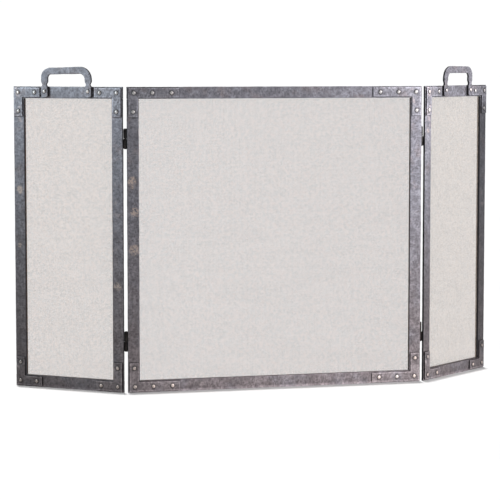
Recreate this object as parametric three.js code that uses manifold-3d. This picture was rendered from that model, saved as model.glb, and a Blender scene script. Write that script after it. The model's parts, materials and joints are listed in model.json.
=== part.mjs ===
// A folding three-panel fireplace screen of flat steel bar. Millimetres, +Z up, +X to the right of
// someone facing the front, +Y towards the fire. The origin is the middle of the centre panel's
// underside. Each panel is a frame of four flat bars with riveted corner plates in front and a sheet
// of wire mesh held behind by flat strips. The wings hang on two barrel hinges each.
import * as THREE from "three";
import { mergeVertices } from "three/addons/utils/BufferGeometryUtils.js";
import Module from "manifold-3d";

const wasm = await Module();
wasm.setup();

// Driving dimensions
const HEIGHT = 813;
const CENTRE_WIDTH = 820;
const WING_WIDTH = 330;
const FOLD_DEG = 39; // how far each wing is folded back from the centre panel's plane
const BAR = { width: 32, thickness: 6.4 };
const TOUCH_GAP = 0.3; // between pieces that bear on each other
const ARC_STEPS = 5; // flats in each bend of an outline

const PLATE = { width: 25, thickness: 3.2, upright: 80 };
const CENTRE_PLATE_REACH = 140;
const WING_PLATE_REACH = 82;
const CENTRE_RIVETS = [18, 68, 120]; // along a corner plate's level arm, from the panel's side edge
const WING_RIVETS = [16, 66];
const UPRIGHT_RIVET = 66; // on the plate's upright arm, from the panel's end
const RIVET = { headRadius: 6, headHeight: 3, shankRadius: 3, clearance: 0.3, sides: 12, rings: 3 };
const DRILL_LENGTH = 40;

const MESH = { thickness: 0.8, lap: 9 }; // lap: how far the mesh reaches behind the bars
const STRIP = { width: 11, thickness: 2.6 };

const HANDLE = {
  width: 148, // over the legs
  rise: 54, // above the top rail
  bar: 20,
  depth: 7,
  outerBend: { outside: 26, inside: 10 }, // radii of the bend away from the centre panel
  innerBend: { outside: 36, inside: 15 },
  neck: 13,
  neckRise: 5, // of the neck and the shoulder above the rail
  shoulderRise: 14,
  rivetSpacing: 132,
  rivetDrop: 13, // below the rail's top edge
  foot: 20,
  footHeight: 27,
  footDrop: 1.5, // of the foot's upper end below the rail's top edge
  footRadius: 4,
  bevel: 1.2,
};

const HINGE = {
  panelGap: 4.6, // between the edges of two panels set in line
  barrelRadius: 5,
  knuckle: 25.6,
  knuckleGap: 0.6,
  pinRadius: 2.5,
  bore: 2.8,
  pinHead: { radius: 3.9, thickness: 1.2 },
  leafReach: 14, // onto the stile's back face
  leaf: 3,
  fromEnd: 137, // hinge centre from the panel's top and bottom
  sides: 20,
};

// Planes that follow from the driving dimensions, with y measured from a bar's middle plane
const BAR_BACK = BAR.thickness / 2;
const BAR_FRONT = -BAR.thickness / 2;
const PLATE_BACK = BAR_FRONT - TOUCH_GAP;
const PLATE_FRONT = PLATE_BACK - PLATE.thickness;
const HANDLE_FRONT = PLATE_BACK - HANDLE.depth;
const MESH_FRONT = BAR_BACK + TOUCH_GAP;
const STRIP_FRONT = MESH_FRONT + MESH.thickness + TOUCH_GAP;
const HINGE_Y = BAR_BACK + TOUCH_GAP + HINGE.barrelRadius;

const finishes = {
  forged: { color: 0x6f7277, roughness: 0.55, metalness: 0.85 },
  plate: { color: 0x76797e, roughness: 0.5, metalness: 0.85 },
  rivet: { color: 0x8d8f93, roughness: 0.35, metalness: 0.9 },
  wire: { color: 0x4d4a47, roughness: 0.6, metalness: 0.7 },
  hinge: { color: 0x3a3a3c, roughness: 0.6, metalness: 0.8 },
};

function asSolid(geometry) {
  const bare = geometry.clone();
  bare.deleteAttribute("normal");
  bare.deleteAttribute("uv");
  const merged = mergeVertices(bare, 1e-4);
  return new wasm.Manifold(
    new wasm.Mesh({
      numProp: 3,
      vertProperties: merged.attributes.position.array,
      triVerts: new Uint32Array(merged.index.array),
    }),
  );
}

function asGeometry(solid) {
  const mesh = solid.getMesh();
  const geometry = new THREE.BufferGeometry();
  geometry.setAttribute("position", new THREE.BufferAttribute(mesh.vertProperties, 3));
  geometry.setIndex(new THREE.BufferAttribute(mesh.triVerts, 1));
  return geometry;
}

function named(name, geometry, finish) {
  const mesh = new THREE.Mesh(geometry, new THREE.MeshStandardMaterial(finishes[finish]));
  mesh.name = name;
  return mesh;
}

function block([x0, x1], [y0, y1], [z0, z1]) {
  const box = new THREE.BoxGeometry(x1 - x0, y1 - y0, z1 - z0);
  return box.translate((x0 + x1) / 2, (y0 + y1) / 2, (z0 + z1) / 2);
}

// An outline in the panel's own XZ plane, given thickness towards the front from yBack.
function slab(shape, yBack, depth) {
  const plate = new THREE.ExtrudeGeometry(shape, { depth, bevelEnabled: false });
  return plate.rotateX(Math.PI / 2).translate(0, yBack, 0);
}

// A round bar along Y for drilling at (x, z).
function drill(x, z, radius) {
  return new THREE.CylinderGeometry(radius, radius, DRILL_LENGTH, RIVET.sides).translate(x, 0, z);
}

function drilled(geometry, spots) {
  const radius = RIVET.shankRadius + RIVET.clearance;
  const cut = (solid, [x, z]) => solid.subtract(asSolid(drill(x, z, radius)));
  return asGeometry(spots.reduce(cut, asSolid(geometry)));
}

// A domed rivet along Y whose head seats at headY and whose shank ends flush with the bar's back.
function rivet(x, z, headY, sunk = 0) {
  const { headRadius, headHeight, shankRadius, sides, rings } = RIVET;
  const ball = (headRadius ** 2 + headHeight ** 2) / (2 * headHeight);
  const edge = Math.asin(headRadius / ball);
  const outline = [];
  for (let i = 0; i <= rings; i++) {
    const a = (edge * i) / rings;
    const r = i === 0 ? 0 : ball * Math.sin(a);
    outline.push(new THREE.Vector2(r, headY - headHeight + ball * (1 - Math.cos(a))));
  }
  if (sunk) outline.push(new THREE.Vector2(headRadius, headY + sunk));
  outline.push(new THREE.Vector2(shankRadius, headY + sunk));
  outline.push(new THREE.Vector2(shankRadius, BAR_BACK), new THREE.Vector2(0, BAR_BACK));
  return new THREE.LatheGeometry(outline, sides).translate(x, 0, z);
}

// An L-shaped corner plate with its rivets upset into it. side is -1 or 1 and end is 0 (bottom) or 1.
function cornerPlate(width, side, end, reach, rivets) {
  const inset = (BAR.width - PLATE.width) / 2;
  const at = (along, up) => [side * (width / 2 - along), end ? HEIGHT - up : up];
  const inner = inset + PLATE.width;
  const corners = [
    at(inset, inset),
    at(reach, inset),
    at(reach, inner),
    at(inner, inner),
    at(inner, PLATE.upright),
    at(inset, PLATE.upright),
  ];
  const shape = new THREE.Shape(corners.map(([x, z]) => new THREE.Vector2(x, z)));
  const plate = asSolid(slab(shape, PLATE_BACK, PLATE.thickness));
  const sunk = PLATE.thickness / 2;
  const join = (solid, [x, z]) => solid.add(asSolid(rivet(x, z, PLATE_FRONT, sunk)));
  return asGeometry(plateRivets(width, side, end, rivets).reduce(join, plate));
}

// Centres of one corner plate's rivets: the row on the rail, then the one on the stile.
function plateRivets(width, side, end, rivets) {
  const middle = BAR.width / 2;
  const spots = [...rivets.map((along) => [along, middle]), [middle, UPRIGHT_RIVET]];
  return spots.map(([along, up]) => [side * (width / 2 - along), end ? HEIGHT - up : up]);
}

// Points from the middle of the handle's underside, round one foot, to the top of that end's bend.
function handleEnd(bend) {
  const leg = HANDLE.width / 2;
  const top = HEIGHT + HANDLE.rise;
  const inside = leg - HANDLE.bar;
  const neckZ = HEIGHT + HANDLE.neckRise;
  const shoulderZ = HEIGHT + HANDLE.shoulderRise;
  const neckOut = leg - (HANDLE.bar - HANDLE.neck) / 2;
  const neckIn = neckOut - HANDLE.neck;
  const footTop = HEIGHT - HANDLE.footDrop;
  const r = HANDLE.footRadius;
  const footZ = footTop - HANDLE.footHeight + r;
  const [footIn, footOut] = [-1, 1].map((sign) => (HANDLE.rivetSpacing + sign * HANDLE.foot) / 2);
  const points = [];
  const arc = (x, z, radius, from, to) => {
    for (let i = 0; i <= ARC_STEPS; i++) {
      const a = THREE.MathUtils.degToRad(from + ((to - from) * i) / ARC_STEPS);
      points.push([x + radius * Math.cos(a), z + radius * Math.sin(a)]);
    }
  };
  arc(inside - bend.inside, top - HANDLE.bar - bend.inside, bend.inside, 90, 0);
  points.push([inside, shoulderZ], [neckIn, neckZ], [footIn, footTop]);
  arc(footIn + r, footZ, r, 180, 270);
  arc(footOut - r, footZ, r, 270, 360);
  points.push([footOut, footTop], [neckOut, neckZ], [leg, shoulderZ]);
  arc(leg - bend.outside, top - bend.outside, bend.outside, 0, 90);
  return points;
}

// A handle in its panel's own frame. outward is the side, -1 or 1, that faces away from the centre.
function handleGeometry(outward) {
  const { bevel, depth } = HANDLE;
  const away = handleEnd(HANDLE.outerBend).map(([x, z]) => [outward * x, z]);
  const near = handleEnd(HANDLE.innerBend).map(([x, z]) => [-outward * x, z]);
  const outline = [...away, ...near.reverse()].map(([x, z]) => new THREE.Vector2(x, z));
  const bar = new THREE.ExtrudeGeometry(new THREE.Shape(outline), {
    depth: depth - 2 * bevel,
    bevelThickness: bevel,
    bevelSize: bevel,
    bevelOffset: -bevel,
    bevelSegments: 1,
  });
  bar.rotateX(Math.PI / 2).translate(0, PLATE_BACK - bevel, 0);
  return drilled(bar, handleRivets());
}

function handleRivets() {
  const z = HEIGHT - HANDLE.rivetDrop;
  return [-1, 1].map((side) => [(side * HANDLE.rivetSpacing) / 2, z]);
}

// One framed panel, centred on x = 0 and standing on z = 0. sides names its left and right, and a
// panel with an outer side is a wing, which has a handle.
function panel(name, width, sides, reach, rivets) {
  const group = new THREE.Group();
  const add = (part, geometry, finish) => group.add(named(`${name}_${part}`, geometry, finish));
  const half = width / 2;
  const thick = [BAR_FRONT, BAR_BACK];
  const signs = [-1, 1];
  const ends = { bottom: 0, top: 1 };
  const holes = (side, end) => plateRivets(width, side, end, rivets);
  const outward = signs[sides.indexOf("outer")];

  for (const [word, end] of Object.entries(ends)) {
    const z = end ? [HEIGHT - BAR.width, HEIGHT] : [0, BAR.width];
    const spots = signs.flatMap((side) => holes(side, end).slice(0, -1));
    if (outward && end) spots.push(...handleRivets());
    add(`${word}_rail`, drilled(block([-half, half], thick, z), spots), "forged");
  }
  const upright = [BAR.width + TOUCH_GAP, HEIGHT - BAR.width - TOUCH_GAP];
  signs.forEach((side, i) => {
    const x = [half - BAR.width, half].map((v) => side * v).sort((a, b) => a - b);
    const spots = Object.values(ends).map((end) => holes(side, end).at(-1));
    add(`${sides[i]}_stile`, drilled(block(x, thick, upright), spots), "forged");
    for (const [word, end] of Object.entries(ends)) {
      const plate = cornerPlate(width, side, end, reach, rivets);
      add(`${word}_${sides[i]}_corner_plate`, plate, "plate");
    }
  });

  const meshEdge = BAR.width - MESH.lap;
  const meshX = [meshEdge - half, half - meshEdge];
  const meshZ = [meshEdge, HEIGHT - meshEdge];
  add("wire_mesh", block(meshX, [MESH_FRONT, MESH_FRONT + MESH.thickness], meshZ), "wire");

  const stripY = [STRIP_FRONT, STRIP_FRONT + STRIP.thickness];
  const outer = BAR.width - STRIP.width;
  const stripX = [outer - half, half - outer];
  const stripBottom = [outer, BAR.width];
  const stripTop = stripBottom.map((z) => HEIGHT - z).reverse();
  add("bottom_mesh_strip", block(stripX, stripY, stripBottom), "forged");
  add("top_mesh_strip", block(stripX, stripY, stripTop), "forged");
  signs.forEach((side, i) => {
    const x = [half - BAR.width, half - outer].map((v) => side * v).sort((a, b) => a - b);
    add(`${sides[i]}_mesh_strip`, block(x, stripY, upright), "forged");
  });

  if (outward) {
    add("handle", handleGeometry(outward), "forged");
    handleRivets().forEach(([x, z], i) => {
      add(`handle_${sides[i]}_rivet`, rivet(x, z, HANDLE_FRONT - TOUCH_GAP), "rivet");
    });
  }
  return group;
}

// Half of a barrel hinge about its own pin line: a knuckle with a leaf that lies on a stile's back.
// towards is the side that the leaf reaches to, and the knuckle stands on z = 0.
function hingeHalf(towards) {
  const { barrelRadius, knuckle, sides, bore, leaf, leafReach, panelGap } = HINGE;
  const upright = (r, h) => {
    const bar = new THREE.CylinderGeometry(r, r, h, sides).rotateX(Math.PI / 2);
    return asSolid(bar.translate(0, 0, knuckle / 2));
  };
  const reach = towards * (panelGap / 2 + leafReach);
  const x = [Math.min(0, reach), Math.max(0, reach)];
  const plate = asSolid(block(x, [-barrelRadius, leaf - barrelRadius], [0, knuckle]));
  return asGeometry(upright(barrelRadius, knuckle).add(plate).subtract(upright(bore, 2 * knuckle)));
}

function hingePin() {
  const { pinRadius, pinHead, knuckle, knuckleGap, sides } = HINGE;
  const half = knuckle + knuckleGap / 2 + TOUCH_GAP;
  const end = half + pinHead.thickness;
  const outline = [
    [0, -end],
    [pinHead.radius, -end],
    [pinHead.radius, -half],
    [pinRadius, -half],
    [pinRadius, half],
    [pinHead.radius, half],
    [pinHead.radius, end],
    [0, end],
  ].map(([r, h]) => new THREE.Vector2(r, h));
  return new THREE.LatheGeometry(outline, sides).rotateX(Math.PI / 2);
}

// One wing with its hinges. side is -1 for the left wing and 1 for the right one.
function wing(name, side) {
  const group = new THREE.Group();
  const axisX = side * (CENTRE_WIDTH / 2 + HINGE.panelGap / 2);
  const folding = new THREE.Group();
  folding.position.set(axisX, HINGE_Y, 0);
  folding.rotation.z = side * THREE.MathUtils.degToRad(FOLD_DEG);
  group.add(folding);

  const sides = side < 0 ? ["outer", "inner"] : ["inner", "outer"];
  const frame = panel(name, WING_WIDTH, sides, WING_PLATE_REACH, WING_RIVETS);
  frame.position.set(side * (HINGE.panelGap / 2 + WING_WIDTH / 2), -HINGE_Y, 0);
  folding.add(frame);

  const heights = { lower: HINGE.fromEnd, upper: HEIGHT - HINGE.fromEnd };
  for (const [word, z] of Object.entries(heights)) {
    const label = `${name}_${word}_hinge`;
    const wingHalf = named(`${label}_wing_knuckle`, hingeHalf(side), "hinge");
    wingHalf.position.z = z - HINGE.knuckleGap / 2 - HINGE.knuckle;
    folding.add(wingHalf);
    const centreHalf = named(`${label}_centre_knuckle`, hingeHalf(-side), "hinge");
    centreHalf.position.set(axisX, HINGE_Y, z + HINGE.knuckleGap / 2);
    const pin = named(`${label}_pin`, hingePin(), "hinge");
    pin.position.set(axisX, HINGE_Y, z);
    group.add(centreHalf, pin);
  }
  return group;
}

const screen = new THREE.Group();
screen.add(
  panel("centre", CENTRE_WIDTH, ["left", "right"], CENTRE_PLATE_REACH, CENTRE_RIVETS),
  wing("left_wing", -1),
  wing("right_wing", 1),
);

export default screen;
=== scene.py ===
"""Looks for the folding fireplace screen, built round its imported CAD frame. Metres, +Z up.

Each panel's pieces are made in that panel's own frame: x along the panel from its middle, y from
the bars' middle plane towards the fire, z up from the floor. They are then set in the CAD's frame.
"""

import json
import math
from collections import namedtuple

import bmesh
import bpy
import numpy as np
from mathutils import Matrix, Vector


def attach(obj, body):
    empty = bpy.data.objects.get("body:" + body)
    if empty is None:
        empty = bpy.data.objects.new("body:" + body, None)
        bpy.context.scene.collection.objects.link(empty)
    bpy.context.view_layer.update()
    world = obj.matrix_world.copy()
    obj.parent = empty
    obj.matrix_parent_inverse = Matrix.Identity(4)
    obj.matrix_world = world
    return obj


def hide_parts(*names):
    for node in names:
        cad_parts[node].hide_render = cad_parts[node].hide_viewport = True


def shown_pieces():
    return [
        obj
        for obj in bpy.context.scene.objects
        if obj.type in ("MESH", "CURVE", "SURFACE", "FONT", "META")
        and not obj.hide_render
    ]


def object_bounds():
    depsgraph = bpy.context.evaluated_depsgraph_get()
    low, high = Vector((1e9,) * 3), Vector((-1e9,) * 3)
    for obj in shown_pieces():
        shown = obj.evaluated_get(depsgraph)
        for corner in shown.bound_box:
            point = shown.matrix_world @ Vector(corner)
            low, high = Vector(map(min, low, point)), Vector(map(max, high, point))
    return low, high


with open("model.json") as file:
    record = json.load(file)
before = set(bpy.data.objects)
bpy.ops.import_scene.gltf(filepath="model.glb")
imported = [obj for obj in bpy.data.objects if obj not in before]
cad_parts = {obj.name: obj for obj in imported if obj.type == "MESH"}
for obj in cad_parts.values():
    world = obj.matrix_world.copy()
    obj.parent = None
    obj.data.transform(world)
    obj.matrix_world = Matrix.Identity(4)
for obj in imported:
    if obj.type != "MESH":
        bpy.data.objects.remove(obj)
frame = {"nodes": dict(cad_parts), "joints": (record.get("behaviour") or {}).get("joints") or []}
cad_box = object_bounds()

MM = 0.001
X, Z = 0, 2

# Hammer blows on forged steel: their spacing, and the ranges of their radius and depth
Blows = namedtuple("Blows", "spacing radius depth")
BAR_BLOWS = Blows(8 * MM, (6 * MM, 12 * MM), (0.12 * MM, 0.36 * MM))
PLATE_BLOWS = Blows(6.5 * MM, (4.5 * MM, 9 * MM), (0.08 * MM, 0.26 * MM))
HANDLE_BLOWS = Blows(7.5 * MM, (6 * MM, 12 * MM), (0.15 * MM, 0.5 * MM))
STRIP_BLOWS = Blows(14 * MM, (5 * MM, 9 * MM), (0.03 * MM, 0.1 * MM))
RIVET_BLOWS = Blows(2.4 * MM, (1.4 * MM, 2.6 * MM), (0.04 * MM, 0.16 * MM))
HINGE_BLOWS = Blows(9 * MM, (3 * MM, 6 * MM), (0.02 * MM, 0.06 * MM))
FEWEST_BLOWS = 4
BLOW_FACING = 0.6  # the least cosine between the struck face's normal and a dented point's

# A head turned about its axis: its radius, its height above the seat, how far it is sunk in, and the
# sides and rings of its mesh
Head = namedtuple("Head", "radius height sunk sides rings")
RIVET_HEAD = Head(6 * MM, 3 * MM, 0.7 * MM, 28, 8)
RIVET_TAIL = Head(4.3 * MM, 1.1 * MM, 0.7 * MM, 20, 4)
HEAD_FOOT = 0.97  # a dome's radius where it is sunk in, as a share of its radius at the seat
HEAD_UNEVENNESS = 0.03
RIVET_TOP = 0.05 * MM  # CAD points this near to a plate's foremost are its rivets' tops

SHARP_EDGE = 50  # degrees
EDGE_SEGMENTS = 2
CELL = 2.5 * MM
STRIP_CELL = 4 * MM
BAR_CORNER = 0.9 * MM
STRIP_CORNER = 0.5 * MM
CORNER_TAPER = 0.9  # how much smaller a bar's corners get towards its ends, as a share of the inset there
BAR_WAVER = 0.25 * MM
STRIP_WAVER = 0.1 * MM
WAVER_LENGTH = 45 * MM
PLATE_THICKNESS = 3.2 * MM
PLATE_EDGE = 0.55 * MM

# A handle's widths and corners, and the heights over the rail between which its legs change width
HANDLE = {
    "bar": 20 * MM,
    "outer_bend": (26 * MM, 10 * MM),  # outer and inner radius of the bend away from the centre panel
    "inner_bend": (36 * MM, 15 * MM),
    "neck": 13 * MM,
    "neck_rise": 5 * MM,
    "shoulder_rise": 14 * MM,
    "foot": 20 * MM,
    "foot_corner": 4 * MM,
    "foot_top": -1.5 * MM,
    "corner": 1.2 * MM,
}
HANDLE_LEAN = {"left_wing": 0.09, "right_wing": 0.02}  # how much lower its outer end stands
HANDLE_CELLS = (8, 3)
HANDLE_STEP = 2 * MM
BEND_STEP = 7  # degrees
HANDLE_NARROWING = 0.03  # how much its width falls in waves along it, as a share
NARROWING_TURN = 0.31  # radians of the wave from ring to ring
HANDLE_ROUGHNESS = 0.01  # how much its width varies at random, as a share

# Painted light and shade, with uneven patina: how light each bar is painted at even steps along it, from its
# left end or from its foot
BAR_LIGHT_AND_PATINA_TONES = {
    "centre": {
        "bottom": (1.0, 1.6),
        "top": (0.6, 0.71, 0.7, 0.9, 1.0),
        "left": (0.62, 0.6, 0.55, 0.56, 0.62),
        "right": (1.03, 1.3),
    },
    "left_wing": {
        "bottom": (0.36, 0.64),
        "top": (0.62, 0.78),
        "outer": (0.29, 0.65),
        "inner": (0.43, 0.56, 0.8),
    },
    "right_wing": {
        "bottom": (1.15, 0.83),
        "top": (0.92, 1.0),
        "inner": (0.95, 0.63, 1.06, 1.31, 1.56),
        "outer": (0.37, 0.31),
    },
}
# Patches where a panel's patina is worn through: x and z of the middle, and radius, in mm
WORN_PATCHES = {
    "centre": [(-398, 565, 17), (-397, 547, 7), (-390, 482, 18), (-391, 382, 20)],
    "left_wing": [(-148, 535, 15), (148, 284, 16), (-150, 385, 9)],
    "right_wing": [(-148, 690, 8)],
}
PAINTED_SHADE_WIDTH = 3.2 * MM  # painted shade on the bars' fronts beside what is riveted over them: how wide it is, and how dark
PAINTED_SHADE_DARKNESS = 0.6
RIVET_SHADE_WIDTH = 3 * MM  # painted shade on the corner plates round their rivets: how wide it is, and how dark
RIVET_SHADE_DARKNESS = 0.55
HIGHLIGHT_RIM_WIDTH = 2.6 * MM  # a painted highlight round the corner plates' outlines: how wide it is, and how much lighter
HIGHLIGHT_RIM_LIGHTNESS = 0.9
FLOOR_LIGHT_HEIGHT = 8 * MM  # painted light from the floor on the foot of the screen: how far up, and how much lighter
FLOOR_LIGHT_LIGHTNESS = 1.4
LEAST_WEIGHT = 0.01  # of a bar's tone at points far from the bar

# Each mesh's wire, painted light and shade: lighter and darker copies of one wire, so that all three look
# equally pale from in front
WIRE_LIT_AND_SHADED_COLOURS = {
    "centre": (0.29, 0.175, 0.13),
    "left_wing": (0.36, 0.245, 0.185),
    "right_wing": (0.66, 0.57, 0.5),
}
WIRE_MOTTLE = {"centre": 0.55, "left_wing": 0.45, "right_wing": 0.19}  # how unevenly dulled

WIRE_PITCH = 2 * MM
WIRE_WIDTH = 0.5 * MM
WIRE_SIDES = 6
WIRE_STRAYING = 0.04  # share of the pitch

FIXING_RADIUS = 3 * MM
FIXING_HEIGHT = 1.1 * MM
FIXING_SPACING = 150 * MM
FIXING_END = 0.3  # how far the last one is from the strip's end, as a share of the spacing
FIXING_SIDES = 20
# Shares of the radius and of the height, from under the head to the dimple in its middle
FIXING_PROFILE = ((1, -0.4), (1, 0.2), (0.9, 0.55), (0.68, 0.88), (0.42, 1), (0.3, 0.94), (0.27, 0.4))

BEAD_RADIUS = 1.2 * MM
BEAD_SIDES = 10
BEAD_RIPPLE = 1.7 * MM
BEAD_DIP = 0.14  # how deep its ripples are, as a share of its radius
BEAD_TAPER = 1.5  # how far it tapers at its ends, in radii
BEAD_TIP = 0.02
BEAD_THINNEST = 0.95
CORNER_WELD = (0.08, 0.6)  # its ends, as shares of the bar's width from the panel's side

LEAF_SHARE = 0.6  # a hinge leaf's thickness as a share of its barrel's radius
BARREL_STEP = 8  # degrees
BORE_SIDES = 32
BORE_SHARE = 0.72  # the bore's radius as a share of the pin head's
HINGE_EDGE = 0.35 * MM
SAME_LEVEL = 1e-7
LEAF_WELD_INSET = 0.06  # share of the leaf's height
LEAF_WELD_DEPTH = 0.5 * MM
PIN_SIDES = 32
PIN_LIP = 1.2 * MM
# Shares of the pin head's radius and of its lip, from the end's middle to the shaft
PIN_PROFILE = ((0.45, 0), (0.85, 0.18), (1, 0.6), (1, 1), (0.64, 1))

# Patterns in the materials: scale, detail and roughness of each noise, and what its grain is scaled by
PATINA = (190, 4, 0.6)
BLOTCHES = (55, 3, 0.6)
BLOTCH_STRETCH = (0.6, 1, 1)
DRIFT = (13, 2, 0.55)
SPECKS = (620, 3, 0.65)
RIPPLES = (360, 2, 0.55)
RIPPLE_STRETCH = (1, 0.25, 1)
ROSY_PLACES = (24, 3, 0.55)
RAGGED_EDGES = (210, 3, 0.75)
BARE_SPOTS = (30, 3, 0.7)
# Tints by red, green and blue, and how much lighter bare steel is than its patina
ROSY_TINT = (1.11, 0.97, 0.89)
PINK_TINT = (1.1, 0.94, 0.94)
RUST_TINT = (1.24, 1.0, 0.86)
BARE_LIGHTNESS = 1.45
HOLLOW_DARKNESS = 0.6
SPECK_DARKNESS = 0.4
STEEL_RELIEF = 0.14 * MM

WIRE_DRIFT = (22, 3, 0.6)
WIRE_SPECKS = (700, 2, 0.55)
WIRE_MOTTLING = (190, 2, 0.5)
WIRE_DIRT = (0.09, 0.07, 0.06)
WIRE_RELIEF = 0.03 * MM

FLOOR_RADIUS = 150
FLOOR_SIDES = 64
FLOOR_CLOUDS = (3, 2, 0.55)
SENSOR_WIDTH = 36
CLIP_END = 200


# ---------------------------------------------------------------- panels


def level_at(value, low, high, levels):
    """The level at a value, from levels spaced evenly between low and high."""
    return np.interp(value, np.linspace(low, high, len(levels)), levels)


class Panel:
    """One framed panel: the CAD body it rides on, and its own frame."""

    def __init__(self, name, body, sides, seed, joint=None):
        self.name = name
        self.body = body
        self.sides = sides
        self.rng = np.random.default_rng(seed)
        self.place = Matrix.Identity(4)
        if joint:  # a wing, which is in line with the centre panel at its joint's lower limit
            x, y, _ = joint["pos_m"]
            fold = Matrix.Rotation(math.radians(-joint["range_deg"][0]), 4, Vector(joint["axis"]))
            self.place = Matrix.Translation((x, y, 0)) @ fold
        low, high = self.box(f"{name}_bottom_rail")
        self.place = self.place @ Matrix.Translation(((low.x + high.x) / 2, (low.y + high.y) / 2, low.z))
        low, high = self.box(f"{name}_bottom_rail")
        self.half = high.x
        self.bar = high.z
        self.back = high.y
        self.height = self.box(f"{name}_top_rail")[1].z
        self.covered = []
        for end in ("bottom", "top"):
            for side in sides:
                self.covered += self.plate_arms(end, side)
        if f"{name}_handle" in frame["nodes"]:
            self.covered += self.handle_feet()

    def points(self, node):
        """A CAD node's vertices in this panel's frame."""
        back = self.place.inverted()
        return [back @ v.co for v in frame["nodes"][node].data.vertices]

    def box(self, node):
        points = np.array(self.points(node))
        return Vector(points.min(0)), Vector(points.max(0))

    def plate_arms(self, end, side):
        """The two arms of an L-shaped corner plate as (x0, x1, z0, z1), level and upright."""
        low, high = self.box(f"{self.name}_{end}_{side}_corner_plate")
        inset = self.half - max(high.x, -low.x)
        arm = self.bar - 2 * inset
        upright = (high.x - arm, high.x) if high.x + low.x > 0 else (low.x, low.x + arm)
        level = (low.z, low.z + arm) if end == "bottom" else (high.z - arm, high.z)
        return [(low.x, high.x, *level), (*upright, low.z, high.z)]

    def foot_middles(self):
        """The x of each of the handle's feet, from its rivets."""
        return [sum(self.box(f"{self.name}_handle_{side}_rivet"), Vector()).x / 2 for side in self.sides]

    def handle_feet(self):
        """The handle's two feet as (x0, x1, z0, z1)."""
        reach = HANDLE["foot"] / 2
        bottom = self.box(f"{self.name}_handle")[0].z
        return [(x - reach, x + reach, bottom, self.height) for x in self.foot_middles()]

    def wear(self, x, z):
        """How far inside a worn patch a point of the frame is: 1 in the middle and 0 outside."""
        patches = WORN_PATCHES[self.name]
        return max(0, *(1 - math.dist((x, z), (a * MM, b * MM)) / (r * MM) for a, b, r in patches))

    def tone(self, point):
        """How light a point of the frame is painted, from the rail and the stile nearest to it: painted light
        and shade with uneven patina, and painted light from the floor low down.
        """
        x, _, z = point
        tones = BAR_LIGHT_AND_PATINA_TONES[self.name]
        rail = level_at(x, -self.half, self.half, tones["top" if z > self.height / 2 else "bottom"])
        stile = level_at(z, 0, self.height, tones[self.sides[int(x > 0)]])
        near_rail = max(LEAST_WEIGHT, 1 - max(0, min(z, self.height - z) - self.bar) / self.bar)
        near_stile = max(LEAST_WEIGHT, 1 - max(0, self.half - abs(x) - self.bar) / self.bar)
        even = (near_rail * rail + near_stile * stile) / (near_rail + near_stile)
        # painted light from the floor, lightening the foot of the screen
        return even * (1 + FLOOR_LIGHT_LIGHTNESS * max(0, 1 - z / FLOOR_LIGHT_HEIGHT))

    def bar_tone(self, point):
        """The tone of a bar, with painted shade on its front along the plates and the handle's feet."""
        x, y, z = point
        if y > 0:
            return self.tone(point)
        away = min(math.hypot(max(a - x, x - b, 0), max(c - z, z - d, 0)) for a, b, c, d in self.covered)
        # painted shade beside the plates and the feet, fading out at the foot of the screen
        painted_shade = max(0, 1 - away / PAINTED_SHADE_WIDTH) * min(1, z / FLOOR_LIGHT_HEIGHT)
        return self.tone(point) * (1 - PAINTED_SHADE_DARKNESS * painted_shade)

    def plate_tones(self, arms, rivets):
        """The tone of a corner plate as a function of the point, from its arms and its rivets' places: a
        painted highlight round its outline and painted shade round its rivets.
        """

        def tone(point):
            x, _, z = point
            inside = max(min(x - a, b - x, z - c, d - z) for a, b, c, d in arms)
            # a painted highlight along the plate's outline
            rim = max(0, 1 - max(0, inside) / HIGHLIGHT_RIM_WIDTH)
            # painted shade round each rivet head
            away = min(math.dist((x, z), spot) for spot in rivets) - RIVET_HEAD.radius
            painted_shade = max(0, 1 - max(0, away) / RIVET_SHADE_WIDTH)
            return self.tone(point) * (1 + HIGHLIGHT_RIM_LIGHTNESS * rim) * (1 - RIVET_SHADE_DARKNESS * painted_shade)

        return tone


joints = {joint["name"]: joint for joint in frame["joints"]}
centre = Panel("centre", "centre_panel", ("left", "right"), 11)
left_wing = Panel("left_wing", "left_wing", ("outer", "inner"), 23, joints["left_wing_fold"])
right_wing = Panel("right_wing", "right_wing", ("inner", "outer"), 37, joints["right_wing_fold"])
panels = [centre, left_wing, right_wing]
wings = [left_wing, right_wing]


# ---------------------------------------------------------------- mesh tools


def solid(points, faces):
    """A bmesh of closed outward surfaces."""
    bm = bmesh.new()
    corners = [bm.verts.new(p) for p in points]
    for face in faces:
        bm.faces.new([corners[i] for i in face])
    bmesh.ops.recalc_face_normals(bm, faces=bm.faces)
    return bm


def tube(rings):
    """A closed surface through rings of points, in order, with a flat cap at each end."""
    count = len(rings[0])
    points = [p for ring in rings for p in ring]
    faces = []
    for r in range(len(rings) - 1):
        a, b = r * count, (r + 1) * count
        faces += [(a + i, a + (i + 1) % count, b + (i + 1) % count, b + i) for i in range(count)]
    faces.append(tuple(range(count)))
    faces.append(tuple(range(len(points) - count, len(points))))
    return solid(points, faces)


def together(parts):
    """One bmesh of several, each its own closed surface."""
    whole = bmesh.new()
    for bm in parts:
        mesh = bpy.data.meshes.new("part")
        bm.to_mesh(mesh)
        bm.free()
        whole.from_mesh(mesh)
        bpy.data.meshes.remove(mesh)
    return whole


def soften(bm, width):
    """Rounds every sharp edge over the width."""
    edges = [e for e in bm.edges if e.calc_face_angle(0) > math.radians(SHARP_EDGE)]
    bmesh.ops.bevel(bm, geom=edges, offset=width, segments=EDGE_SEGMENTS, profile=0.5, affect="EDGES")


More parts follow.
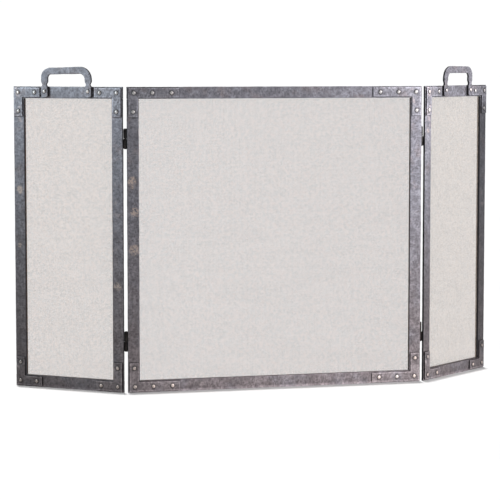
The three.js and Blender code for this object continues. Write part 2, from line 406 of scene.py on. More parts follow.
def hammer(bm, rng, blows):
    """Strikes overlapping shallow dents, and keeps in layer "struck" how deep each point lies, 0 to 1."""
    bm.normal_update()
    struck_layer = bm.verts.layers.float.new("struck")
    points = np.array([v.co for v in bm.verts])
    normals = np.array([v.normal for v in bm.verts])
    areas = np.array([f.calc_area() for f in bm.faces])
    middles = np.array([f.calc_center_median() for f in bm.faces])
    facings = np.array([f.normal for f in bm.faces])
    lightest = blows.depth[0] / blows.depth[1]
    count = max(FEWEST_BLOWS, int(areas.sum() / blows.spacing**2))
    struck = np.zeros(len(points))
    for i in rng.choice(len(areas), size=count, p=areas / areas.sum()):
        radius = rng.uniform(*blows.radius)
        force = rng.uniform(lightest, 1)
        away = ((points - middles[i]) ** 2).sum(1) / radius**2
        near = (away < 1) & (normals @ facings[i] > BLOW_FACING)
        struck[near] = np.maximum(struck[near], force * (1 - away[near]))
    points -= normals * (struck * blows.depth[1])[:, None]
    for vert, point, depth in zip(bm.verts, points, struck):
        vert.co = point
        vert[struck_layer] = depth
    return bm


def add_piece(name, bm, panel, material, stands_for=(), upright=False, smooth=40, tones=None):
    """Turns a bmesh in the panel's frame into a piece that rides on the panel's body.

    Layer "grain" is the point's place with the piece's length first. "rubbed" is 1 on faces parallel to the
    panel and 0 on edges. "tone" is how light the piece is painted, from tones or else from the panel, which
    holds painted light and shade along with uneven patina, and "wear" is 1 where that patina is worn through."""
    tones = tones or panel.tone
    bm.normal_update()
    grain = bm.verts.layers.float_vector.new("grain")
    rubbed = bm.verts.layers.float.new("rubbed")
    tone = bm.verts.layers.float.new("tone")
    wear = bm.verts.layers.float.new("wear")
    for vert in bm.verts:
        x, y, z = vert.co
        vert[grain] = (z, x, y) if upright else (x, z, y)
        vert[rubbed] = abs(vert.normal.y)
        vert[tone] = tones(vert.co)
        vert[wear] = panel.wear(x, z)
    mesh = bpy.data.meshes.new(name)
    bm.to_mesh(mesh)
    bm.free()
    mesh.transform(panel.place)
    mesh.shade_smooth()
    mesh.set_sharp_from_angle(angle=math.radians(smooth))
    mesh.materials.append(material)
    piece = bpy.data.objects.new(name, mesh)
    bpy.context.scene.collection.objects.link(piece)
    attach(piece, panel.body)
    if stands_for:
        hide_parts(*stands_for)
    return piece


def split(low, high, cell):
    """Even steps from low to high, each about a cell long."""
    return np.linspace(low, high, max(1, round((high - low) / cell)) + 1)


def eased(value, knots, levels):
    """Smooth steps from level to level as value passes the knots."""
    for k in range(len(knots) - 1):
        if value < knots[k + 1]:
            t = max(0, (value - knots[k]) / (knots[k + 1] - knots[k]))
            return levels[k] + (levels[k + 1] - levels[k]) * t * t * (3 - 2 * t)
    return levels[-1]


# ---------------------------------------------------------------- bars and strips


def section(width, thickness, corner, cells):
    """Points round a flat bar's section as (across, through), its corners rounded."""
    a, t = width / 2 - corner, thickness / 2 - corner
    middles = [(a, t), (-a, t), (-a, -t), (a, -t)]
    bends = []
    for k, middle in enumerate(middles):
        turns = [math.radians(90 * k + step) for step in (0, 45, 90)]
        bends.append([np.add(middle, (corner * math.cos(r), corner * math.sin(r))) for r in turns])
    points = []
    for k, bend in enumerate(bends):
        start, end = bend[-1], bends[(k + 1) % 4][0]
        count = cells[k % 2]
        points += bend + [start + (end - start) * i / count for i in range(1, count)]
    return points


def stands(low, high):
    """Whether the bar in the box from low to high is upright."""
    return high.z - low.z > high.x - low.x


def flat_bar(low, high, corner, cell, waver, rng):
    """A flat bar filling the box from low to high, soft at its edges and wavering a little in width."""
    upright = stands(low, high)
    size = high - low
    length, width = (size.z, size.x) if upright else (size.x, size.z)
    middle = (low + high) / 2
    cells = (max(2, round(width / cell)), max(2, round(size.y / cell)))
    turns = (0, math.pi / 4, math.pi / 2)
    ease = [(corner * (1 - math.cos(t)), corner * (1 - math.sin(t))) for t in turns]
    stations = [*ease, *[(s, 0) for s in split(corner, length - corner, cell)[1:-1]]]
    stations += [(length - s, inset) for s, inset in reversed(ease)]
    knots = split(0, length, WAVER_LENGTH)
    narrowing = rng.uniform(0, 2 * waver / width, (2, len(knots)))
    rings = []
    for s, inset in stations:
        slim = [1 - np.interp(s, knots, row) for row in narrowing]
        ring = []
        small = corner - CORNER_TAPER * inset
        for across, through in section(width - 2 * inset, size.y - 2 * inset, small, cells):
            across *= slim[int(across > 0)]
            along = s - length / 2
            ring.append(middle + Vector((across, through, along) if upright else (along, through, across)))
        rings.append(ring)
    return tube(rings), upright


def add_bars(panel, steel, strip_steel):
    bars = ["bottom_rail", "top_rail"] + [f"{side}_stile" for side in panel.sides]
    for node in [f"{panel.name}_{bar}" for bar in bars]:
        bm, upright = flat_bar(*panel.box(node), BAR_CORNER, CELL, BAR_WAVER, panel.rng)
        hammer(bm, panel.rng, BAR_BLOWS)
        add_piece(f"{node}_forged", bm, panel, steel, [node], upright, tones=panel.bar_tone)
    for edge in ("bottom", "top", *panel.sides):
        node = f"{panel.name}_{edge}_mesh_strip"
        bm, upright = flat_bar(*panel.box(node), STRIP_CORNER, STRIP_CELL, STRIP_WAVER, panel.rng)
        hammer(bm, panel.rng, STRIP_BLOWS)
        add_piece(f"{node}_rolled", bm, panel, strip_steel, [node], upright)


# ---------------------------------------------------------------- corner plates and rivets


def lattice_plate(arms, y_front, y_back, cell):
    """A flat plate over the rectangles (x0, x1, z0, z1) in arms, in cells."""
    axes = []
    for k in (0, 2):
        stops = sorted({round(v, 6) for arm in arms for v in arm[k : k + 2]})
        steps = [split(a, b, cell)[:-1] for a, b in zip(stops, stops[1:])]
        axes.append([*np.concatenate(steps), stops[-1]])
    xs, zs = axes
    cells = set()
    for i in range(len(xs) - 1):
        for j in range(len(zs) - 1):
            x, z = (xs[i] + xs[i + 1]) / 2, (zs[j] + zs[j + 1]) / 2
            if any(a < x < b and c < z < d for a, b, c, d in arms):
                cells.add((i, j))
    index, faces = {}, []

    def corner(spot, y):
        return index.setdefault((*spot, y), len(index))

    for i, j in sorted(cells):
        loop = [(i, j), (i + 1, j), (i + 1, j + 1), (i, j + 1)]
        beyond = [(i, j - 1), (i + 1, j), (i, j + 1), (i - 1, j)]
        faces.append([corner(spot, y_front) for spot in loop])
        faces.append([corner(spot, y_back) for spot in reversed(loop)])
        for k in range(4):
            if beyond[k] not in cells:
                a, b = loop[k], loop[(k + 1) % 4]
                faces.append([corner(a, y_front), corner(b, y_front), corner(b, y_back), corner(a, y_back)])
    return solid([(xs[i], y, zs[j]) for i, j, y in index], faces)


def rivet_tops(panel, node):
    """Where the tops of a corner plate's rivets are: the CAD node's foremost points."""
    points = panel.points(node)
    foremost = min(p.y for p in points)
    tops = {(round(p.x, 4), round(p.z, 4)) for p in points if p.y < foremost + RIVET_TOP}
    return sorted(tops), foremost


def turned(spot, seat, facing, profile, sides, rng):
    """A head turned about the y axis through spot, from a profile of (radius, height above the seat)."""
    wide, tall = 1 - rng.uniform(0, HEAD_UNEVENNESS, 2)
    flattened = rng.uniform(0, 2 * HEAD_UNEVENNESS)
    low_side = rng.uniform(0, 2 * math.pi)
    turns = [2 * math.pi * i / sides for i in range(sides)]
    rings = []
    for radius, rise in profile:
        ring = []
        for turn in turns:
            lift = rise * (1 - flattened * (1 + math.cos(turn - low_side))) if rise > 0 else rise
            x = spot[0] + radius * wide * math.cos(turn)
            ring.append((x, seat + facing * lift, spot[1] + radius * tall * math.sin(turn)))
        rings.append(ring)
    return tube(rings)


def dome(spot, seat, facing, head, rng):
    """A domed rivet head, hammered a little out of true."""
    ball = (head.radius**2 + head.height**2) / (2 * head.height)
    edge = math.asin(head.radius / ball)
    profile = [(HEAD_FOOT * head.radius, -head.sunk), (head.radius, 0)]
    for k in range(1, head.rings + 1):
        angle = edge * (1 - k / (head.rings + 1))
        profile.append((ball * math.sin(angle), head.height - ball * (1 - math.cos(angle))))
    return hammer(turned(spot, seat, facing, profile, head.sides, rng), rng, RIVET_BLOWS)


def add_corner_plates(panel, plate_steel, rivet_steel):
    tails = []
    for end in ("bottom", "top"):
        for side in panel.sides:
            node = f"{panel.name}_{end}_{side}_corner_plate"
            tops, foremost = rivet_tops(panel, node)
            seat = foremost + RIVET_HEAD.height
            arms = panel.plate_arms(end, side)
            plate = lattice_plate(arms, seat, seat + PLATE_THICKNESS, CELL)
            soften(plate, PLATE_EDGE)
            hammer(plate, panel.rng, PLATE_BLOWS)
            tones = panel.plate_tones(arms, tops)
            add_piece(f"{node}_forged", plate, panel, plate_steel, [node], tones=tones)
            heads = together(dome(spot, seat, -1, RIVET_HEAD, panel.rng) for spot in tops)
            add_piece(f"{node}_rivets", heads, panel, rivet_steel, [node], smooth=70)
            tails += [dome(spot, panel.back, 1, RIVET_TAIL, panel.rng) for spot in tops]
    add_piece(f"{panel.name}_rivet_tails", together(tails), panel, rivet_steel, smooth=70)


# ---------------------------------------------------------------- handles


def handle_edges(panel, node):
    """Pairs of points on the handle's outer and inner edge, as (x, z), from foot to foot."""
    low, high = panel.box(node)
    halves = []
    for foot, side in zip(panel.foot_middles(), panel.sides):
        outward = math.copysign(1, foot)
        half_foot, corner = HANDLE["foot"] / 2, HANDLE["foot_corner"]
        bend, inner_bend = HANDLE[f"{side}_bend"]
        leg = high.x - HANDLE["bar"] / 2
        shoulder = panel.height + HANDLE["shoulder_rise"]
        knots = [panel.height + HANDLE["foot_top"], panel.height + HANDLE["neck_rise"], shoulder]
        pairs = []
        for turn in (0, 30, 60, 90):
            reach = half_foot - corner * (1 - math.sin(math.radians(turn)))
            z = low.z + corner * (1 - math.cos(math.radians(turn)))
            pairs.append(((abs(foot) + reach, z), (abs(foot) - reach, z)))
        for z in split(low.z + corner, high.z - HANDLE["bar"] - inner_bend - CELL, HANDLE_STEP)[1:]:
            middle = eased(z, knots[:2], [abs(foot), leg])
            reach = eased(z, knots, [HANDLE["foot"] / 2, HANDLE["neck"] / 2, HANDLE["bar"] / 2])
            pairs.append(((middle + reach, z), (middle - reach, z)))
        inside = high.x - HANDLE["bar"]
        for turn in split(0, 90, BEND_STEP):
            c, s = math.cos(math.radians(turn)), math.sin(math.radians(turn))
            outer = (high.x - bend * (1 - c), high.z - bend * (1 - s))
            inner = (inside - inner_bend * (1 - c), high.z - HANDLE["bar"] - inner_bend * (1 - s))
            pairs.append((outer, inner))
        halves.append([tuple((outward * x, z) for x, z in pair) for pair in pairs])
    first, second = halves
    start, end = np.array(first[-1]), np.array(second[-1])
    count = round((end[0][0] - start[0][0]) / CELL)
    middle = [start + (end - start) * i / count for i in range(1, count)]
    return first + middle + second[::-1]


def add_handle(panel, steel, rivet_steel):
    node = f"{panel.name}_handle"
    low, high = panel.box(node)
    outward = 1 if panel.sides[1] == "outer" else -1
    rings = []
    for pair in handle_edges(panel, node):
        outer, inner = [np.array(p) for p in pair]
        width = math.dist(outer, inner)
        across_way = (outer - inner) / width
        roughness = panel.rng.uniform(-HANDLE_ROUGHNESS, HANDLE_ROUGHNESS)
        slim = min(1, 1 + HANDLE_NARROWING * math.sin(NARROWING_TURN * len(rings)) + roughness)
        ring = []
        for across, through in section(width, high.y - low.y, HANDLE["corner"], HANDLE_CELLS):
            x, z = (outer + inner) / 2 + across_way * across * slim
            above = max(0, z - panel.height)
            along = 0.5 + 0.5 * outward * x / high.x  # 0 at the handle's inner end, 1 at its outer end
            z -= above * HANDLE_LEAN[panel.name] * along
            ring.append((x, (low.y + high.y) / 2 + through, z))
        rings.append(ring)
    bm = hammer(tube(rings), panel.rng, HANDLE_BLOWS)
    add_piece(f"{node}_forged", bm, panel, steel, [node])
    for side in panel.sides:
        rivet = f"{node}_{side}_rivet"
        spot = sum(panel.box(rivet), Vector()) / 2
        seat = panel.box(rivet)[0].y + RIVET_HEAD.height
        head = dome((spot.x, spot.z), seat, -1, RIVET_HEAD, panel.rng)
        add_piece(f"{rivet}_head", head, panel, rivet_steel, [rivet], smooth=70)


# ---------------------------------------------------------------- wire mesh and its fixings


def add_wire_mesh(panel, steel):
    """Straight wires crossing in two layers, upright in front of level."""
    node = f"{panel.name}_wire_mesh"
    low, high = panel.box(node)
    wires = []
    for axis, other, layer in ((X, Z, 0.5), (Z, X, 1.5)):
        y = low.y + layer * WIRE_WIDTH
        for across in split(low[axis] + WIRE_WIDTH, high[axis] - WIRE_WIDTH, WIRE_PITCH):
            middle = across + panel.rng.uniform(-WIRE_STRAYING, WIRE_STRAYING) * WIRE_PITCH
            rings = []
            for along in (low[other], high[other]):
                ring = []
                for i in range(WIRE_SIDES):
                    turn = 2 * math.pi * (i + 0.5) / WIRE_SIDES
                    point = [0, y + WIRE_WIDTH / 2 * math.sin(turn), 0]
                    point[axis] = middle + WIRE_WIDTH / 2 * math.cos(turn)
                    point[other] = along
                    ring.append(tuple(point))
                rings.append(ring)
            wires.append(rings)
    points = [p for rings in wires for ring in rings for p in ring]
    faces = []
    for w in range(len(wires)):
        a, b = 2 * w * WIRE_SIDES, (2 * w + 1) * WIRE_SIDES
        nexts = [(i + 1) % WIRE_SIDES for i in range(WIRE_SIDES)]
        faces += [(a + i, a + j, b + j, b + i) for i, j in enumerate(nexts)]
        faces += [tuple(range(start, start + WIRE_SIDES)) for start in (a, b)]
    bm = solid(points, faces)
    add_piece(f"{node}_wires", bm, panel, steel, [node], smooth=70)


def add_strip_fixings(panel, strip_steel):
    """Blind rivets that hold the mesh strips, on the strips' backs."""
    profile = [(r * FIXING_RADIUS, h * FIXING_HEIGHT) for r, h in FIXING_PROFILE]
    spots = []
    for edge in ("bottom", "top", *panel.sides):
        low, high = panel.box(f"{panel.name}_{edge}_mesh_strip")
        middle = (low + high) / 2
        upright = stands(low, high)
        length = high.z - low.z if upright else high.x - low.x
        last = length / 2 - FIXING_END * FIXING_SPACING
        for s in split(-last, last, FIXING_SPACING):
            spots.append((middle.x, middle.z + s) if upright else (middle.x + s, middle.z))
    seat = panel.box(f"{panel.name}_bottom_mesh_strip")[1].y
    heads = together(turned(spot, seat, 1, profile, FIXING_SIDES, panel.rng) for spot in spots)
    add_piece(f"{panel.name}_strip_fixings", heads, panel, strip_steel, smooth=50)


# ---------------------------------------------------------------- welds


def bead(start, end, rng):
    """A rippled weld bead from start to end, closed and tapered at both ends."""
    start, end = Vector(start), Vector(end)
    way = (end - start).normalized()
    one = way.orthogonal().normalized()
    two = way.cross(one)
    length = (end - start).length
    rings = []
    for s in split(0, length, BEAD_RIPPLE / 4):
        taper = min(1, math.sqrt(max(BEAD_TIP, min(s, length - s) / (BEAD_TAPER * BEAD_RADIUS))))
        ripple = 1 - BEAD_DIP + BEAD_DIP * abs(math.sin(math.pi * s / BEAD_RIPPLE))
        r = BEAD_RADIUS * taper * ripple * rng.uniform(BEAD_THINNEST, 1)
        turns = [2 * math.pi * i / BEAD_SIDES for i in range(BEAD_SIDES)]
        rings.append([start + way * s + one * r * math.cos(t) + two * r * math.sin(t) for t in turns])
    return tube(rings)


def add_corner_welds(panel, weld_steel):
    """Beads behind each corner, across the joint between rail and stile."""
    beads = []
    for z in (panel.bar, panel.height - panel.bar):
        for side in (-1, 1):
            x = [side * (panel.half - panel.bar * share) for share in CORNER_WELD]
            beads.append(bead((x[0], panel.back, z), (x[1], panel.back, z), panel.rng))
    add_piece(f"{panel.name}_corner_welds", together(beads), panel, weld_steel, smooth=60)


# ---------------------------------------------------------------- hinges


def hinge_half(low, high, axis, rng, bore):
    """A leaf rolled into a barrel about the upright line through axis, filling the box from low to high."""
    towards = 1 if high.x - axis.x > axis.x - low.x else -1
    radius = (high.y - low.y) / 2
    reach = max(high.x - axis.x, axis.x - low.x)
    leaf = LEAF_SHARE * radius
    start = math.asin((leaf - radius) / radius)
    turns = split(start, 1.5 * math.pi, math.radians(BARREL_STEP))
    outline = [(reach, -radius), (reach, leaf - radius)]
    outline += [(radius * math.cos(t), radius * math.sin(t)) for t in turns]
    around = np.linspace(0, 2 * math.pi, BORE_SIDES + 1)[:-1]
    hole = [(bore * math.cos(t), bore * math.sin(t)) for t in around]
    bm = bmesh.new()
    for loop in (outline, hole):
        levels = []
        for z in (low.z, high.z):
            levels.append([bm.verts.new((axis.x + towards * x, axis.y + y, z)) for x, y in loop])
        bottom, top = levels
        for i in range(len(loop)):
            j = (i + 1) % len(loop)
            bm.faces.new((bottom[i], bottom[j], top[j], top[i]))
    for z in (low.z, high.z):
        rim = [e for e in bm.edges if e.is_boundary and all(abs(v.co.z - z) < SAME_LEVEL for v in e.verts)]
        bmesh.ops.triangle_fill(bm, edges=rim, use_beauty=True)
    bmesh.ops.recalc_face_normals(bm, faces=bm.faces)
    soften(bm, HINGE_EDGE)
    return hammer(bm, rng, HINGE_BLOWS), towards * reach + axis.x


def hinge_pin(low, high, rng):
    """A pin headed at both ends, upright in the box from low to high."""
    middle = (low + high) / 2
    head = (high.x - low.x) / 2
    profile = [(r * head, s * PIN_LIP) for r, s in PIN_PROFILE]
    length = high.z - low.z
    profile += [(r, length - s) for r, s in reversed(profile)]
    turns = [2 * math.pi * i / PIN_SIDES for i in range(PIN_SIDES)]
    rings = []
    for r, s in profile:
        rings.append([(middle.x + r * math.cos(t), middle.y + r * math.sin(t), low.z + s) for t in turns])
    return hammer(tube(rings), rng, HINGE_BLOWS)


def add_hinges(wing, joint, hinge_steel, weld_steel):
    for level in ("lower", "upper"):
        label = f"{wing.name}_{level}_hinge"
        pin_box = centre.box(f"{label}_pin")
        bore = BORE_SHARE * (pin_box[1].x - pin_box[0].x) / 2
        for panel, half in ((wing, "wing"), (centre, "centre")):
            node = f"{label}_{half}_knuckle"
            low, high = panel.box(node)
            axis = panel.place.inverted() @ Vector(joint["pos_m"])
            bm, edge = hinge_half(low, high, axis, panel.rng, bore)
            add_piece(f"{node}_rolled", bm, panel, hinge_steel, [node], upright=True, smooth=50)
            inset = LEAF_WELD_INSET * (high.z - low.z)
            ends = [(edge, panel.back + LEAF_WELD_DEPTH, z) for z in (low.z + inset, high.z - inset)]
            add_piece(f"{node}_weld", bead(*ends, panel.rng), panel, weld_steel, smooth=60)
        pin = hinge_pin(*pin_box, centre.rng)
        add_piece(f"{label}_pin_turned", pin, centre, hinge_steel, [f"{label}_pin"], upright=True)


# ---------------------------------------------------------------- materials


class Nodes:
    """A material's node tree, with short calls for the nodes used here."""

    def __init__(self, name):
        self.material = bpy.data.materials.new(name)
        self.material.use_nodes = True
        self.tree = self.material.node_tree
        self.shader = self.tree.nodes["Principled BSDF"]

    def node(self, kind, settings=(), **inputs):
        made = self.tree.nodes.new(kind)
        for key, value in dict(settings).items():
            setattr(made, key, value)
        for key, value in inputs.items():
            self.feed(made.inputs[key.replace("_", " ")], value)
        return made

    def feed(self, socket, value):
        if isinstance(value, bpy.types.NodeSocket):
            self.tree.links.new(value, socket)
        else:
            socket.default_value = value

    def attribute(self, name, output="Vector"):
        return self.node("ShaderNodeAttribute", {"attribute_name": name}).outputs[output]

    def height(self):
        """The z of a point at rest."""
        place = self.node("ShaderNodeTexCoord").outputs["Object"]
        return self.node("ShaderNodeSeparateXYZ", Vector=place).outputs["Z"]

    def stretched(self, vector, scale):
        return self.node("ShaderNodeMapping", Vector=vector, Scale=scale).outputs["Vector"]

    def noise(self, vector, scale, detail, roughness):
        return self.node(
            "ShaderNodeTexNoise", Vector=vector, Scale=scale, Detail=detail, Roughness=roughness
        ).outputs["Fac"]

    def fit(self, value, low, high, to_low=0.0, to_high=1.0):
        made = self.node("ShaderNodeMapRange", {"interpolation_type": "SMOOTHSTEP"}, Value=value)
        for socket, number in zip(("From Min", "From Max", "To Min", "To Max"), (low, high, to_low, to_high)):
            self.feed(made.inputs[socket], number)
        return made.outputs["Result"]

    def math(self, operation, a, b):
        made = self.node("ShaderNodeMath", {"operation": operation})
        self.feed(made.inputs[0], a)
        self.feed(made.inputs[1], b)
        return made.outputs[0]

    def mix(self, factor, a, b, blend="MIX"):
        made = self.node("ShaderNodeMix", {"data_type": "RGBA", "blend_type": blend})
        self.feed(made.inputs["Factor"], factor)
        self.feed(made.inputs[6], a if isinstance(a, bpy.types.NodeSocket) else (*a, 1))
        self.feed(made.inputs[7], b if isinstance(b, bpy.types.NodeSocket) else (*b, 1))
        return made.outputs[2]

    def finish(self, colour, roughness, metallic, bump=None, depth=0.0):
        self.feed(self.shader.inputs["Base Color"], colour)
        self.feed(self.shader.inputs["Roughness"], roughness)
        self.feed(self.shader.inputs["Metallic"], metallic)
        if bump:
            made = self.node("ShaderNodeBump", Height=bump, Distance=depth, Strength=1.0)
            self.feed(self.shader.inputs["Normal"], made.outputs["Normal"])
        return self.material


def scaled(colour, share):
    return tuple(share * c for c in colour)


def hammered_patina(n, grain, patina, ripple, light, dark):
    """Light and dark patina, darkest in the hollows that the hammer left."""
    blotch = n.noise(n.stretched(grain, BLOTCH_STRETCH), *BLOTCHES)
    struck = n.attribute("struck", "Fac")
    colour = n.mix(n.fit(patina, 0.33, 0.67), dark, light)
    colour = n.mix(n.fit(blotch, 0.4, 0.66, 0.0, 0.35), colour, dark)
    colour = n.mix(n.fit(ripple, 0.42, 0.66, 0.0, 0.45), colour, light)
    return n.mix(n.fit(struck, 0.2, 0.95, 0.0, 0.4), colour, scaled(dark, HOLLOW_DARKNESS))


def turned_rosy(n, grain, colour, light):
    """The colour, turned from blue-grey to rosy brown low down and in places."""
    drift = n.noise(grain, *DRIFT)
    rosy = tuple(w * light[0] / light[2] for w in ROSY_TINT)
    low_down = n.math("MULTIPLY", n.fit(n.height(), 0.6, 0.05), n.fit(drift, 0.3, 0.55, 0.5, 1.0))
    in_places = n.fit(n.noise(grain, *ROSY_PLACES), 0.5, 0.68, 0.0, 0.6)
    return n.mix(n.math("MAXIMUM", low_down, in_places), colour, rosy, "MULTIPLY")


def worn_through(n, grain, colour, speck, light, worn):
    """The colour, with gritty bare steel in scattered spots and rust in the panel's worn patches."""
    bare = BARE_LIGHTNESS * light[1]
    pink, rust = [tuple(min(1, bare * w) for w in tint) for tint in (PINK_TINT, RUST_TINT)]
    ragged = n.fit(n.noise(grain, *RAGGED_EDGES), 0.36, 0.62, 0.0, 1.6)
    patch = n.fit(n.math("MULTIPLY", n.attribute("wear", "Fac"), ragged), 0.1, 0.7, 0.0, 0.9)
    scattered = n.fit(n.noise(grain, *BARE_SPOTS), 0.62, 0.74, 0.0, worn)
    grit = n.fit(speck, 0.35, 0.55, 0.5, 1.0)
    colour = n.mix(n.math("MULTIPLY", scattered, grit), colour, pink)
    return n.mix(n.math("MULTIPLY", patch, grit), colour, rust)


def forged_steel(name, light, dark, roughness, worn=0.5, metallic=0.65, edges=0.2, rim=(0.4, 0.8)):
    """Hammered steel with a darker patina in its hollows, and darker on faces that lie edge-on to the panel's
    front.

    worn is how bare its scattered spots are, and edges how light its edges are as a share of dark. rim is how
    squarely a face must lie to the panel's front before it starts to take the face's colour instead of the
    edge colour, and before it fully does."""
    n = Nodes(name)
    grain = n.attribute("grain")
    patina = n.noise(grain, *PATINA)
    speck = n.noise(grain, *SPECKS)
    ripple = n.noise(n.stretched(grain, RIPPLE_STRETCH), *RIPPLES)
    colour = hammered_patina(n, grain, patina, ripple, light, dark)
    colour = turned_rosy(n, grain, colour, light)
    colour = worn_through(n, grain, colour, speck, light, worn)
    colour = n.mix(n.fit(speck, 0.52, 0.75, 0.0, 0.6), colour, scaled(dark, SPECK_DARKNESS))
    colour = n.mix(1.0, colour, n.attribute("tone", "Fac"), "MULTIPLY")
    # faces edge-on to the panel's front take the edge colour; on the rivets this paints shade round the
    # domes' sides
    colour = n.mix(n.fit(n.attribute("rubbed", "Fac"), *rim), scaled(dark, edges), colour)
    uneven = n.fit(patina, 0.3, 0.7, roughness - 0.1, roughness + 0.1)
    relief = n.math("ADD", n.math("MULTIPLY", speck, 0.6), n.math("MULTIPLY", ripple, 0.4))
    return n.finish(colour, uneven, metallic, relief, STEEL_RELIEF)


def wire_steel(name, colour, uneven):
    """Dull drawn wire, mottled over the sheet by as much as uneven, with a little dirt on it."""
    n = Nodes(name)
    grain = n.attribute("grain")
    drift = n.noise(grain, *WIRE_DRIFT)
    speck = n.noise(grain, *WIRE_SPECKS)
    mottle = n.fit(n.noise(grain, *WIRE_MOTTLING), 0.3, 0.7, 1 - uneven, 1 + uneven)
    colour = n.mix(n.fit(drift, 0.35, 0.65), scaled(colour, 0.96), scaled(colour, 1.04))
    colour = n.mix(1.0, colour, mottle, "MULTIPLY")
    colour = n.mix(n.fit(speck, 0.45, 0.75, 0.0, 0.4), colour, WIRE_DIRT)
    rough = n.fit(drift, 0.3, 0.7, 0.5, 0.65)
    return n.finish(colour, rough, 0.5, speck, WIRE_RELIEF)


# ---------------------------------------------------------------- build


bar_steel = forged_steel("bar_steel", (0.38, 0.38, 0.43), (0.145, 0.14, 0.16), 0.5)
plate_steel = forged_steel("plate_steel", (0.41, 0.41, 0.46), (0.145, 0.14, 0.16), 0.46, worn=0.7)
# Rivet steel: partly the heads' own lighter steel, partly a painted highlight on their tops, with painted
# shade round their sides where they turn edge-on
rivet_steel = forged_steel(
    "rivet_steel", (0.8, 0.77, 0.76), (0.5, 0.48, 0.48), 0.34, metallic=0.5, edges=0.06, rim=(0.72, 0.86)
)
# nearly black hinge steel: painted shade of the narrow gaps between the panels where the hinges sit
hinge_steel = forged_steel("hinge_steel", (0.06, 0.056, 0.056), (0.02, 0.019, 0.019), 0.55, worn=0.2, edges=1)
strip_steel = forged_steel("strip_steel", (0.11, 0.11, 0.115), (0.05, 0.05, 0.052), 0.5, worn=0.3)
weld_steel = forged_steel("weld_steel", (0.2, 0.19, 0.185), (0.08, 0.075, 0.075), 0.5, worn=0.6, edges=0.8)

for panel in panels:
    add_bars(panel, bar_steel, strip_steel)
    add_corner_plates(panel, plate_steel, rivet_steel)
    wires = wire_steel(f"{panel.name}_wire_steel", WIRE_LIT_AND_SHADED_COLOURS[panel.name], WIRE_MOTTLE[panel.name])
    add_wire_mesh(panel, wires)
    add_strip_fixings(panel, strip_steel)
    add_corner_welds(panel, weld_steel)
for wing in wings:
    add_handle(wing, bar_steel, rivet_steel)
    add_hinges(wing, joints[f"{wing.name}_fold"], hinge_steel, weld_steel)


# ---------------------------------------------------------------- studio


def add_floor():
    """A pale floor that reaches past the view's edges."""
    turns = [2 * math.pi * i / FLOOR_SIDES for i in range(FLOOR_SIDES)]
    bm = bmesh.new()
    bm.faces.new([bm.verts.new((FLOOR_RADIUS * math.cos(t), FLOOR_RADIUS * math.sin(t), 0)) for t in turns])
    mesh = bpy.data.meshes.new("floor")
    bm.to_mesh(mesh)
    bm.free()
    n = Nodes("floor_white")
    place = n.node("ShaderNodeTexCoord").outputs["Object"]
    tone = n.fit(n.noise(place, *FLOOR_CLOUDS), 0.3, 0.7, 0.9, 0.93)
    colour = n.node("ShaderNodeCombineColor", Red=tone, Green=tone, Blue=tone).outputs["Color"]
    n.feed(n.shader.inputs["Specular IOR Level"], 0.0)
    mesh.materials.append(n.finish(colour, 0.9, 0.0))
    floor = bpy.data.objects.new("floor", mesh)
    bpy.context.scene.collection.objects.link(floor)
    return floor


def add_world(seen, surround):
    """White behind everything, and a greyer studio round it for the object to reflect."""
    world = bpy.data.worlds.new("studio")
    bpy.context.scene.world = world
    world.use_nodes = True
    tree = world.node_tree
    output = tree.nodes["World Output"]
    backgrounds = [tree.nodes["Background"], tree.nodes.new("ShaderNodeBackground")]
    for background, (colour, strength) in zip(backgrounds, (surround, seen)):
        background.inputs["Color"].default_value = (*colour, 1)
        background.inputs["Strength"].default_value = strength
    rays = tree.nodes.new("ShaderNodeLightPath")
    mix = tree.nodes.new("ShaderNodeMixShader")
    tree.links.new(rays.outputs["Is Camera Ray"], mix.inputs[0])
    tree.links.new(backgrounds[0].outputs[0], mix.inputs[1])
    tree.links.new(backgrounds[1].outputs[0], mix.inputs[2])
    tree.links.new(mix.outputs[0], output.inputs["Surface"])


def add_softbox(name, place, aim, size, power, lit, colour):
    """A softbox that lights only what is in the collection lit, and so leaves the floor evenly white."""
    data = bpy.data.lights.new(name, "AREA")
    data.shape = "RECTANGLE"
    data.size, data.size_y = size
    data.energy = power
    data.color = colour
    light = bpy.data.objects.new(name, data)
    light.location = place
    light.rotation_euler = (Vector(aim) - Vector(place)).to_track_quat("-Z", "Y").to_euler()
    light.visible_camera = False
    light.light_linking.receiver_collection = lit
    bpy.context.scene.collection.objects.link(light)


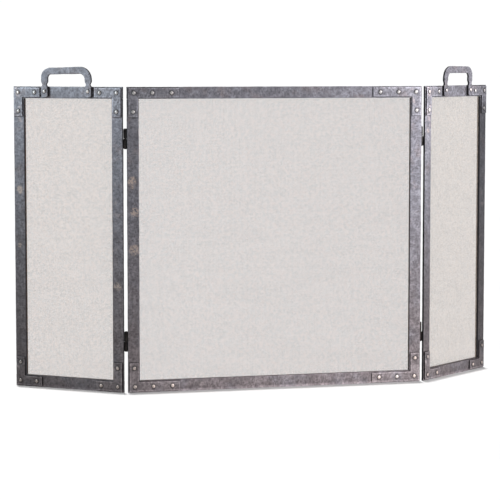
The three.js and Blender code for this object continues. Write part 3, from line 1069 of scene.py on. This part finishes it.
def add_sky(name, strength, spread, tilt, lit, shading=None):
    """Even light from overhead, tilted, on what is in the collection lit.

    If a collection shading is given, nothing else casts a shadow in it."""
    data = bpy.data.lights.new(name, "SUN")
    data.energy = strength
    data.angle = math.radians(spread)
    light = bpy.data.objects.new(name, data)
    light.rotation_euler = (math.radians(tilt), 0, 0)
    light.light_linking.receiver_collection = lit
    if shading:
        light.light_linking.blocker_collection = shading
    bpy.context.scene.collection.objects.link(light)


def gather(name, objects):
    """A collection of the objects, for lights to be linked to."""
    group = bpy.data.collections.new(name)
    for item in objects:
        group.objects.link(item)
    return group


def add_camera(place, pan, tilt, lens):
    data = bpy.data.cameras.new("camera")
    data.sensor_width = SENSOR_WIDTH
    data.lens = lens
    data.clip_end = CLIP_END
    camera = bpy.data.objects.new("camera", data)
    camera.location = place
    camera.rotation_euler = (math.radians(90 - tilt), 0, math.radians(-pan))
    bpy.context.scene.collection.objects.link(camera)
    bpy.context.scene.camera = camera


heart = (cad_box[0] + cad_box[1]) / 2
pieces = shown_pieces()
screen = gather("screen", pieces)
frames = gather("frames", [piece for piece in pieces if "wires" not in piece.name])
foot_rails = gather("foot_rails", [piece for piece in pieces if "bottom_rail" in piece.name])
ground = gather("ground", [add_floor()])
add_world(seen=((1, 1, 1), 1.03), surround=((0.93, 0.96, 1.0), 0.14))
add_softbox(
    "right_side",
    place=(1.25, -0.42, 1.25),
    aim=(0.35, 0.05, 0.6),
    size=(1.0, 0.8),
    power=12,
    lit=frames,
    colour=(1.0, 0.95, 0.98),
)
add_softbox(
    "right_front",
    place=(2.4, -3.6, 2.0),
    aim=heart,
    size=(1.6, 1.6),
    power=70,
    lit=screen,
    colour=(1.0, 0.96, 0.98),
)
add_softbox(
    "left_side",
    place=(-2.0, -0.1, 1.3),
    aim=(-0.55, 0.1, 0.5),
    size=(0.5, 1.0),
    power=20,
    lit=screen,
    colour=(0.82, 0.95, 1.0),
)
add_sky("overhead", strength=2.6, spread=70, tilt=-6, lit=screen)
add_sky("floor_from_behind", strength=3.4, spread=20, tilt=-49, lit=ground, shading=foot_rails)
add_sky("floor_fill", strength=1.4, spread=20, tilt=-49, lit=ground, shading=ground)
add_camera(place=(-1.520, -5.488, 0.883), pan=14.76, tilt=5.12, lens=152.6)
bpy.context.scene.view_settings.view_transform = "Standard"
